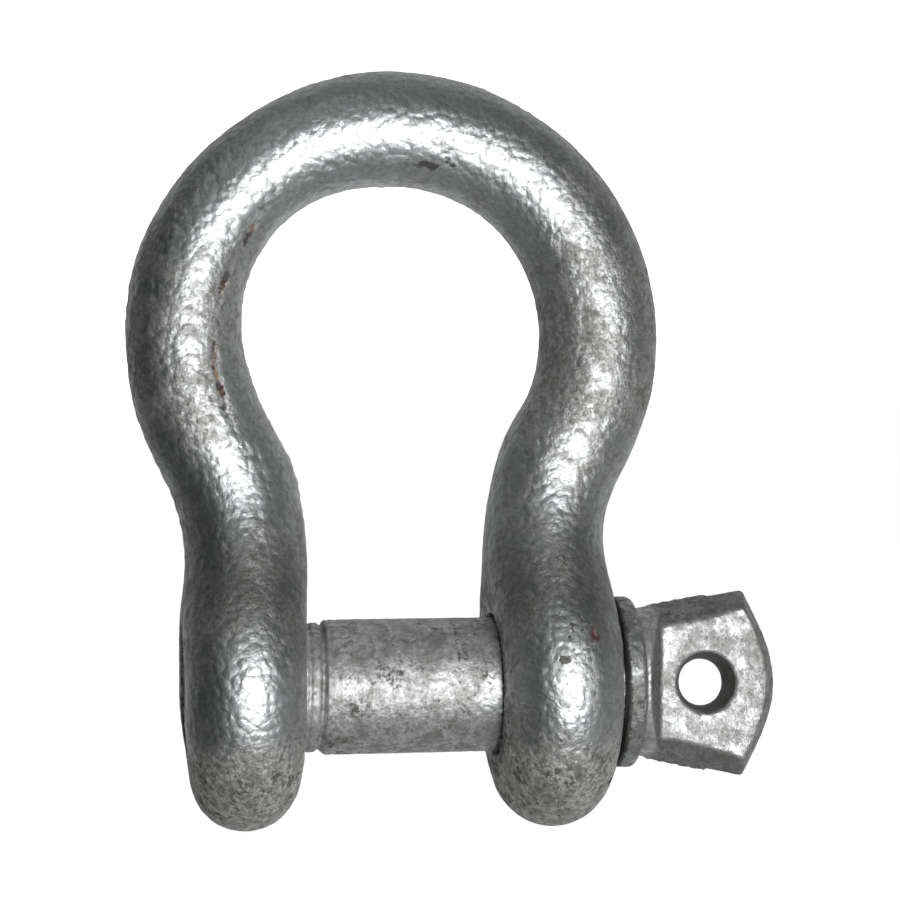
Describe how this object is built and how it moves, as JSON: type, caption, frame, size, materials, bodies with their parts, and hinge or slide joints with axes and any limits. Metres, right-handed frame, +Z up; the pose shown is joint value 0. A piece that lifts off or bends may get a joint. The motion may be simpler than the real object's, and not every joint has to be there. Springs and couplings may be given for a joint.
{
  "type": "bow shackle",
  "caption": "Galvanised bow shackle: a round-bar bow with a plain and a threaded ear, closed by a screw pin with a collar and a flat forged eye.",
  "frame": {"origin": "the load-bearing point on the inside of the crown, in the middle of the bar", "axes": "+X along the pin from the threaded ear towards the pin's head, +Z up through the crown, +Y across the bow, away from a viewer who has the pin's head on the right"},
  "size_m": [0.1097, 0.048, 0.1262],
  "materials": {
    "bow_zinc": "hot-dip galvanised forged steel, dull grey and finely lumpy, with a few rust stains",
    "collar_zinc": "hot-dip galvanised steel, fairly smooth, with soft edges",
    "pin_zinc": "hot-dip galvanised forged steel, smoother and brighter than the bow, pitted here and there"
  },
  "bodies": {
    "bow": {"bow": "bow_zinc"},
    "collar": {"pin_collar": "collar_zinc"},
    "pin": {"screw_pin": "pin_zinc"}
  },
  "joints": [
    {"name": "pin_travel", "type": "slide", "parent": "bow", "child": "collar", "axis": [1, 0, 0], "range_m": [0, 0.065]},
    {"name": "pin_turn", "type": "hinge", "parent": "collar", "child": "pin", "pos_m": [0, 0, -0.0827], "axis": [1, 0, 0], "range_deg": [0, 8280]}
  ],
  "couplings": [
    {"joint": "pin_travel", "follows": "pin_turn", "m_per_rad": 0.00044914}
  ]
}
